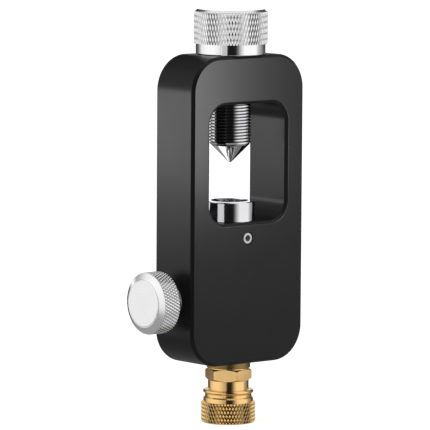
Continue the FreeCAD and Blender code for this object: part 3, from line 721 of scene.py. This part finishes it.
bleed_low, bleed_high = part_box("bleed_knob")
bleed_radius = (bleed_high.z - bleed_low.z) / 2
bleed_back = (block_low.x - bleed_high.x) / mm
bleed_front = (block_low.x - bleed_low.x) / mm
bleed_face = 9.35
bleed_bevel = 1.75
# painted shade: the bleed knob's knurl grooves are painted darker towards their roots
bleed_painted_shade = (bleed_radius - 0.36 * mm, bleed_radius - 0.14 * mm, 0.5)
knurled_side = turned_metal("knurled_side", aluminium_colours, (0.16, 0.24), 0.0015 * mm, "side", bleed_painted_shade)
bleed_knurl = knurled_ring(
    "bleed_knurl", bleed_radius, 0.36 * mm, 60, 1.2 * mm, bleed_back * mm, (bleed_front - 0.12) * mm,
    (0.4 * mm, 0.4 * mm), (bleed_bevel * mm, 3.5 * mm), 9.8 * mm, knurled_side, 0.6,
)
bleed_knurl.transform(bleed_axis)
bleed_core = turned_piece([
    (2.02, bleed_back + 3.4), (9.0, bleed_back + 3.4), (9.6, bleed_back, 0.1),
    (12.3, bleed_back + 0.01, 0.05),
    (12.3, bleed_front - 1.95, 0.02), (bleed_face, bleed_front, 0.35), (0, bleed_front, 0),
    (0, bleed_front - 1.6, 0), (2.02, bleed_front - 1.6),
], "bleed_core", bright_aluminium_side, bleed_axis)
bleed_mesh = joined([bleed_knurl, bleed_core], "bleed_knob")
for face in bleed_mesh.polygons:
    if face.center.x < block_low.x - (bleed_front - bleed_bevel) * mm:
        face.material_index = 1
bleed_knob = finished_object(bleed_mesh, "bleed_knob_knurled", 12.0)
stand_for(bleed_knob, "bleed_screw", "bleed_knob")

# ----------------------------------------------------------
# The quick coupler's body. One brass bar: a threaded shank in the block, a hexagon, a smooth neck and a barrel with
# six ball pockets round its socket. The hexagon keeps the bar's drawn skin; the rest is turned.
# ----------------------------------------------------------
hex_top = -70.3
hex_foot = -75.4
hex_half = 8.5
hex_turn = math.radians(12 + 30)
brass_colours = ((0.90, 0.58, 0.22), (0.96, 0.65, 0.28))
brass = turned_metal("brass", brass_colours, (0.11, 0.19), 0.0015 * mm)


def drawn_brass():
    """The hexagon's flats: drawn brass with a faint lengthwise and crosswise grain."""
    material, tree, shader = finish("drawn_brass")
    grain = texture(tree, "ShaderNodeTexNoise", object_place(tree, (1500, 1500, 9000)), Scale=1.0, Detail=4.0)
    cloud = texture(tree, "ShaderNodeTexNoise", object_place(tree), Scale=420.0, Detail=3.0)
    colour = tinted(tree, cloud.outputs["Fac"], (0.86, 0.55, 0.21), (0.94, 0.63, 0.28))
    tree.links.new(colour, shader.inputs["Base Color"])
    tree.links.new(spread(tree, grain.outputs["Fac"], 0.24, 0.36), shader.inputs["Roughness"])
    shader.inputs["Metallic"].default_value = 1.0
    bumped(tree, shader, grain.outputs["Fac"], 0.006 * mm)
    return material


hex_brass = drawn_brass()
hex_corner = hex_half / math.cos(math.pi / 6)
bm = bmesh.new()
bmesh.ops.create_cone(
    bm, cap_ends=True, segments=6, radius1=hex_corner * mm, radius2=hex_corner * mm,
    depth=(hex_top - hex_foot) * mm,
    matrix=Matrix.Translation((0, 0, (hex_top + hex_foot) / 2 * mm)) @ Matrix.Rotation(hex_turn, 4, "Z"),
)
corners = [edge for edge in bm.edges if abs(edge.verts[0].co.z - edge.verts[1].co.z) > mm]
bmesh.ops.bevel(bm, geom=corners, offset=0.12 * mm, segments=3, profile=0.5, affect="EDGES")
hex_mesh = mesh_of(bm, "hexagon")
rim = hex_corner + 0.2
envelope = turned_piece([
    (4.0, hex_foot, 0), (hex_half - 0.35, hex_foot, 0),
    (rim, hex_foot + (rim - hex_half + 0.35) * 0.7, 0),
    (rim, hex_top - (rim - hex_half) * 0.55, 0), (hex_half, hex_top, 0), (4.0, hex_top, 0),
], "hex_envelope", hex_brass, segments=192)
hex_mesh = carve(hex_mesh, envelope, "INTERSECT")
hexagon = finished_object(hex_mesh, "coupler_hexagon", 12.0)
hexagon.data.materials.clear()
hexagon.data.materials.append(hex_brass)

socket_mesh = turned_piece([
    (1.5, -58.2), (4.25, -58.2), (4.85, -58.8), (4.85, -69.9), (8.17, -69.9, 0.1), (8.17, -70.5, 0),
    (7.5, -70.5, 0),
    (7.5, -75.2, 0), (8.47, -75.2, 0), (8.47, -80.2), (6.5, -80.2), (6.5, -91.51, 0), (6.1, -91.51, 0),
    (6.1, -92.17, 0),
    (6.5, -92.17, 0), (6.5, -92.2), (6.2, -92.5), (4.55, -92.5), (4.05, -92.0), (4.05, -89.15),
    (4.3, -89.15), (4.3, -86.05), (4.05, -86.05), (4.05, -84.0), (4.7, -84.0),
    (4.7, -81.6), (3.2, -81.6), (3.2, -80.6), (1.5, -78.9),
], "coupler_barrel", brass)
for name in sorted(frame["nodes"]):
    if name.startswith("locking_ball"):
        low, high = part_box(name)
        centre = (low + high) / 2
        lay = Matrix.Translation(centre) @ Vector((0, 0, 1)).rotation_difference(
            Vector((centre.x, centre.y, 0))).to_matrix().to_4x4()
        pocket = turned_bmesh([(r * mm, z * mm) for r, z in (
            (0, -1.56), (0.8, -1.34), (1.34, -0.8), (1.56, 0), (1.56, 3.0), (0, 3.0))], 32, lay)
        socket_mesh = carve(socket_mesh, mesh_of(pocket, "ball_pocket"))
barrel = finished_object(socket_mesh, "coupler_barrel", 30.0)
for piece in (hexagon, barrel):
    stand_for(piece, "yoke", "coupler_body")

# ----------------------------------------------------------
# The coupler's collar washer. A thick brass ring between the hexagon and the block, the same brass as the hexagon,
# painted much darker as painted shadow from the block above it.
# ----------------------------------------------------------
# painted shadow: the collar's brass colours are darkened to stand for the block's shadow
painted_shade_brass = turned_metal("painted_shade_brass", ((0.22, 0.15, 0.05), (0.36, 0.26, 0.10)), (0.26, 0.40), 0.003 * mm)
washer_low, washer_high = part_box("coupler_washer")
washer_radius = (washer_high.x - washer_low.x) / 2 / mm
washer_mesh = turned_piece([
    (5.0, washer_low.z / mm, 0), (washer_radius, washer_low.z / mm, 0.25),
    (washer_radius, washer_high.z / mm, 0.25),
    (5.0, washer_high.z / mm, 0),
], "coupler_washer", painted_shade_brass)
washer = finished_object(washer_mesh, "coupler_collar", 30.0)
stand_for(washer, "yoke", "coupler_washer")

# ----------------------------------------------------------
# The sliding sleeve. Turned brass over the barrel: a rounded lip to pull on, a groove, a ridge and a diamond knurl.
# It slides up the neck against its spring and frees the balls.
# ----------------------------------------------------------
sleeve_low, sleeve_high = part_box("coupler_sleeve")
grip_radius = (sleeve_high.x - sleeve_low.x) / 2
grip_foot = sleeve_low.z / mm
grip_top = -84.1
# painted shade: the sleeve's knurl grooves are painted darker towards their roots
grip_painted_shade = (grip_radius - 0.42 * mm, grip_radius - 0.15 * mm, 0.8)
knurled_brass = turned_metal("knurled_brass", brass_colours, (0.09, 0.16), 0.001 * mm, groove=grip_painted_shade)
sleeve_knurl = knurled_ring(
    "sleeve_knurl", grip_radius, 0.46 * mm, 50, 1.6 * mm, sleeve_low.z, grip_top * mm, (0.4 * mm, 0.4 * mm),
    (0.25 * mm, 0.3 * mm), 9.6 * mm, knurled_brass, 0.75,
)
sleeve_mesh = turned_piece([
    (8.52, -79.06, 0.1), (10.47, -79.06, 0.45), (10.47, -80.3, 0.6), (9.66, -80.5, 0.6),
    (9.66, -82.06, 0.6),
    (10.35, -82.26, 0.6), (10.35, grip_top - 0.1, 0.1), (10.8, grip_top - 0.1, 0),
    (10.8, grip_foot + 0.02, 0.1),
    (8.1, grip_foot + 0.02), (7.7, grip_foot + 0.42), (7.7, -91.5), (7.25, -91.5), (6.55, -87.4),
    (6.55, -86.9),
    (8.52, -86.9),
], "sleeve", brass)
sleeve = finished_object(joined([sleeve_knurl, sleeve_mesh], "sleeve"), "coupler_sleeve_knurled", 12.0)
stand_for(sleeve, "sleeve", "coupler_sleeve")

# ----------------------------------------------------------
# The sleeve's spring. Flat spring steel wire coiled round the neck, between the barrel's shoulder and the sleeve's.
# It closes up as the sleeve slides; here it is a fixed coil that rides with the block.
# ----------------------------------------------------------
spring_low, spring_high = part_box("sleeve_spring")
wire_width = 1.0 * mm
wire_thick = 0.6 * mm
coil_turns = 3
coil_steps = coil_turns * 64
coil_rise = spring_high.z - spring_low.z - wire_thick
spring_steel = turned_metal("spring_steel", ((0.45, 0.45, 0.47), (0.58, 0.58, 0.60)), (0.22, 0.34), 0.002 * mm)
bm = bmesh.new()
sections = []
for step in range(coil_steps + 1):
    angle = 2 * math.pi * coil_turns * step / coil_steps
    foot = spring_low.z + coil_rise * step / coil_steps
    sections.append([
        bm.verts.new((radius * math.cos(angle), radius * math.sin(angle), height))
        for radius, height in (
            (spring_high.x - wire_width, foot), (spring_high.x, foot), (spring_high.x, foot + wire_thick),
            (spring_high.x - wire_width, foot + wire_thick),
        )
    ])
for lower, upper in zip(sections, sections[1:]):
    for corner in range(4):
        beyond = (corner + 1) % 4
        bm.faces.new((lower[corner], lower[beyond], upper[beyond], upper[corner]))
bm.faces.new(sections[0])
bm.faces.new(sections[-1])
spring = finished_object(mesh_of(bm, "coupler_spring"), "coupler_spring", 30.0)
spring.data.materials.append(spring_steel)
stand_for(spring, "yoke", "sleeve_spring")
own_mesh(spring)

# ----------------------------------------------------------
# The small pieces inside. O-rings of black rubber, a sintered bronze filter, white plastic seals, wire rings and
# polished balls. Their shapes are right as designed, and each gets its finish.
# ----------------------------------------------------------


def rubber():
    """Black O-ring rubber with a faint bloom."""
    material, tree, shader = finish("seal_rubber")
    bloom = texture(tree, "ShaderNodeTexNoise", object_place(tree), Scale=900.0, Detail=4.0)
    colour = tinted(tree, bloom.outputs["Fac"], (0.012, 0.012, 0.012), (0.03, 0.03, 0.03))
    tree.links.new(colour, shader.inputs["Base Color"])
    tree.links.new(spread(tree, bloom.outputs["Fac"], 0.45, 0.65), shader.inputs["Roughness"])
    bumped(tree, shader, bloom.outputs["Fac"], 0.01 * mm, 0.4)
    return material


def sintered_bronze():
    """Bronze grains fused together, with dark pores."""
    material, tree, shader = finish("sintered_bronze")
    grains = texture(tree, "ShaderNodeTexVoronoi", object_place(tree), Scale=3600.0)
    colour = tinted(tree, grains.outputs["Distance"], (0.60, 0.40, 0.20), (0.16, 0.10, 0.05))
    tree.links.new(colour, shader.inputs["Base Color"])
    shader.inputs["Metallic"].default_value = 0.8
    shader.inputs["Roughness"].default_value = 0.55
    bumped(tree, shader, grains.outputs["Distance"], 0.08 * mm)
    return material


def seal_plastic():
    """Natural white machined plastic."""
    material, tree, shader = finish("seal_plastic")
    haze = texture(tree, "ShaderNodeTexNoise", object_place(tree), Scale=500.0, Detail=3.0)
    colour = tinted(tree, haze.outputs["Fac"], (0.80, 0.77, 0.70), (0.88, 0.86, 0.80))
    tree.links.new(colour, shader.inputs["Base Color"])
    tree.links.new(spread(tree, haze.outputs["Fac"], 0.38, 0.5), shader.inputs["Roughness"])
    return material


ball_steel = turned_metal("ball_steel", ((0.78, 0.78, 0.80), (0.82, 0.82, 0.84)), (0.04, 0.08), 0.0003 * mm)
small_finishes = {
    "seal_rubber": rubber(), "sintered_bronze": sintered_bronze(), "seal_plastic": seal_plastic(),
    "spring_steel": spring_steel, "ball_steel": ball_steel,
}
for entry in frame["record"]["subparts"]:
    if entry["material_slot"] in small_finishes:
        carried = frame["nodes"][entry["node"]]
        carried.data.materials.clear()
        carried.data.materials.append(small_finishes[entry["material_slot"]])

# ----------------------------------------------------------
# The studio. A plain white floor and a broad white surround, with a dark slot towards the camera, a dark
# rear and a bright line on the rear horizon. Small panels, each for one piece or a few, grade the satin
# faces and the polished metal.
# ----------------------------------------------------------
camera_azimuth = math.radians(-39.75)
camera_elevation = math.radians(6.3)
camera_roll = math.radians(0.377)
camera_distance = 1.9057
backward = Vector((
    math.sin(camera_azimuth) * math.cos(camera_elevation),
    -math.cos(camera_azimuth) * math.cos(camera_elevation),
    math.sin(camera_elevation),
))
rightward = Vector((math.cos(camera_azimuth), math.sin(camera_azimuth), 0))
upward = backward.cross(rightward)
aim = Vector((-4.83, 3.58, -6.23)) * mm

camera = bpy.data.objects.new("camera", bpy.data.cameras.new("camera"))
camera.data.lens = 384.15
camera.data.sensor_width = 36.0
camera.data.clip_start = 0.05
camera.data.clip_end = 60.0
turn = Matrix((rightward, upward, backward)).transposed() @ Matrix.Rotation(camera_roll, 3, "Z")
camera.matrix_world = Matrix.Translation(aim + backward * camera_distance) @ turn.to_4x4()
bpy.context.scene.collection.objects.link(camera)
bpy.context.scene.camera = camera

floor_half = 9.0
floor_level = cad_box[0][2] - 0.2 * mm
bm = bmesh.new()
floor_place = Matrix.Translation((0, 0, floor_level))
bmesh.ops.create_grid(bm, x_segments=1, y_segments=1, size=floor_half, matrix=floor_place)
floor_mesh = bpy.data.meshes.new("floor")
bm.to_mesh(floor_mesh)
bm.free()
floor = bpy.data.objects.new("floor", floor_mesh)
bpy.context.scene.collection.objects.link(floor)
floor.visible_glossy = False
white_floor, _, floor_shader = finish("white_floor")
floor_shader.inputs["Base Color"].default_value = (0.5, 0.5, 0.5, 1)
floor_shader.inputs["Roughness"].default_value = 0.9
floor_shader.inputs["Specular IOR Level"].default_value = 0.0
floor_shader.inputs["Emission Color"].default_value = (1, 1, 1, 1)
floor_shader.inputs["Emission Strength"].default_value = 0.78
floor.data.materials.append(white_floor)


def panel(name, place, target, width, height, radiance, lit, shading):
    """A soft rectangular light at a place, facing a target, of an even radiance, for the pieces given."""
    light = bpy.data.lights.new(name, "AREA")
    light.shape = "RECTANGLE"
    light.size = width
    light.size_y = height
    light.energy = radiance * math.pi * width * height
    lamp = bpy.data.objects.new(name, light)
    facing = (place - target).to_track_quat("Z", "Y").to_matrix().to_4x4()
    lamp.matrix_world = Matrix.Translation(place) @ facing
    lamp.visible_camera = False
    bpy.context.scene.collection.objects.link(lamp)
    for role, pieces in (("receiver_collection", lit), ("blocker_collection", shading)):
        group = bpy.data.collections.new(f"{name}_{role}")
        for piece in pieces:
            group.objects.link(piece)
        setattr(lamp.light_linking, role, group)


def bounce(direction, axis):
    """The way that a face of a block, square to an axis, mirrors the line of sight."""
    mirrored = -direction
    mirrored[axis] = direction[axis]
    return mirrored


def level_way(degrees):
    """The level direction some degrees to the right of the camera, and as far below it as the camera is above."""
    return Matrix.Rotation(math.radians(degrees), 3, "Z") @ Vector((backward.x, backward.y, -backward.z))


front_spot = Vector((-46, -12, 56)) * mm
side_spot = Vector((-30, 2, 42)) * mm
front_way = bounce(backward, 1)
side_way = bounce(backward, 0)
shading = [block, bleed_knob, bleed_stem, bleed_gland]
panel("front_panel", front_spot + front_way * 0.16, front_spot, 0.040, 0.09, 25.0, [block], shading)
panel("side_panel", side_spot + side_way * 0.30, side_spot, 0.10, 0.06, 10.5, [block], shading)
middle = Vector((0, 0, 0))
panel("cup_panel", level_way(-39) * 0.25, middle, 0.13, 0.2, 0.75, [inlet_cup], [inlet_cup])
round_pieces = [clamp_knob, barrel, sleeve, washer]
panel("left_strip", level_way(-21.5) * 0.5, middle, 0.19, 0.6, 0.55, round_pieces, round_pieces)
hex_spot = Vector((0, 0, -73)) * mm
panel("hex_panel", hex_spot + level_way(-20) * 0.4, hex_spot, 0.2, 0.2, 0.95, [hexagon], [hexagon])
cone_spot = Vector((0, 0, 18)) * mm
for side, radiance in ((-1, 1.2), (1, 0.2)):
    cone_way = level_way(112 * side) * 0.4
    cone_way.z = -0.92
    cone_light = cone_spot + cone_way * 0.12
    cone = [thrust_point]
    panel(f"cone_panel_{side + 2}", cone_light, cone_spot, 0.07, 0.07, radiance, cone, cone)

world = bpy.data.worlds.new("studio")
bpy.context.scene.world = world
world.use_nodes = True
tree = world.node_tree
place = tree.nodes.new("ShaderNodeTexCoord")
turned = tree.nodes.new("ShaderNodeMapping")
turned.inputs["Rotation"].default_value = (0, 0, -math.atan2(backward.y, backward.x))
split = tree.nodes.new("ShaderNodeSeparateXYZ")
tree.links.new(place.outputs["Generated"], turned.inputs["Vector"])
tree.links.new(turned.outputs["Vector"], split.inputs["Vector"])
bearing = tree.nodes.new("ShaderNodeMath")
bearing.operation = "ARCTAN2"
tree.links.new(split.outputs["Y"], bearing.inputs[0])
tree.links.new(split.outputs["X"], bearing.inputs[1])
share = tree.nodes.new("ShaderNodeMapRange")
share.inputs["From Min"].default_value = -math.pi
share.inputs["From Max"].default_value = math.pi
tree.links.new(bearing.outputs["Value"], share.inputs["Value"])


def ramp(tree, source, stops):
    """A grey ramp from (position, level) stops."""
    node = tree.nodes.new("ShaderNodeValToRGB")
    elements = node.color_ramp.elements
    while len(elements) > 1:
        elements.remove(elements[-1])
    for index, (position, level) in enumerate(stops):
        element = elements[0] if index == 0 else elements.new(position)
        element.position = position
        element.color = (level, level, level, 1)
    tree.links.new(source, node.inputs["Fac"])
    return node.outputs["Color"]


def bearing_stops(stops):
    """Stops given by the bearing in degrees to the right of the camera."""
    return [((degrees + 180) / 360, level) for degrees, level in stops]


round_about = ramp(tree, share.outputs["Result"], bearing_stops([
    (-180, 0.03), (-150, 0.05), (-132, 0.2), (-110, 0.85), (-80, 1.0), (-58, 1.0), (-36, 0.8),
    (-29, 0.1),
    (-22, 0.02), (-8, 0.01), (10, 0.01), (18, 0.02), (26, 0.2), (34, 0.55), (48, 1.0), (92, 1.0),
    (106, 0.5),
    (140, 0.1), (180, 0.03),
]))
up_down = tree.nodes.new("ShaderNodeMapRange")
up_down.inputs["From Min"].default_value = -1.0
tree.links.new(split.outputs["Z"], up_down.inputs["Value"])
band = ramp(tree, up_down.outputs["Result"], [(0.30, 0.0), (0.40, 1.0), (0.82, 1.0), (0.90, 0.0)])
ends = ramp(tree, up_down.outputs["Result"], [(0.0, 0.35), (0.35, 0.30), (0.5, 0.2), (0.62, 0.45), (0.90, 1.0)])
mixed = tree.nodes.new("ShaderNodeMix")
mixed.data_type = "RGBA"
tree.links.new(band, mixed.inputs["Factor"])
tree.links.new(ends, mixed.inputs["A"])
tree.links.new(round_about, mixed.inputs["B"])
path = tree.nodes.new("ShaderNodeLightPath")
seen = tree.nodes.new("ShaderNodeBackground")
seen.inputs["Color"].default_value = (1, 1, 1, 1)
lit = tree.nodes.new("ShaderNodeBackground")
lit.inputs["Strength"].default_value = 1.05
rear_stops = bearing_stops([(-180, 1.3), (-140, 1.3), (-122, 0), (122, 0), (140, 1.3)])
behind = ramp(tree, share.outputs["Result"], rear_stops)
horizon = ramp(tree, up_down.outputs["Result"], [(0.515, 0.0), (0.53, 1.0), (0.57, 1.0), (0.59, 0.0)])
strip = tree.nodes.new("ShaderNodeVectorMath")
strip.operation = "MULTIPLY_ADD"
tree.links.new(behind, strip.inputs[0])
tree.links.new(horizon, strip.inputs[1])
tree.links.new(mixed.outputs["Result"], strip.inputs[2])
tree.links.new(strip.outputs["Vector"], lit.inputs["Color"])
either = tree.nodes.new("ShaderNodeMixShader")
tree.links.new(path.outputs["Is Camera Ray"], either.inputs["Fac"])
tree.links.new(lit.outputs["Background"], either.inputs[1])
tree.links.new(seen.outputs["Background"], either.inputs[2])
tree.links.new(either.outputs["Shader"], tree.nodes["World Output"].inputs["Surface"])
bpy.context.scene.view_settings.view_transform = "Standard"
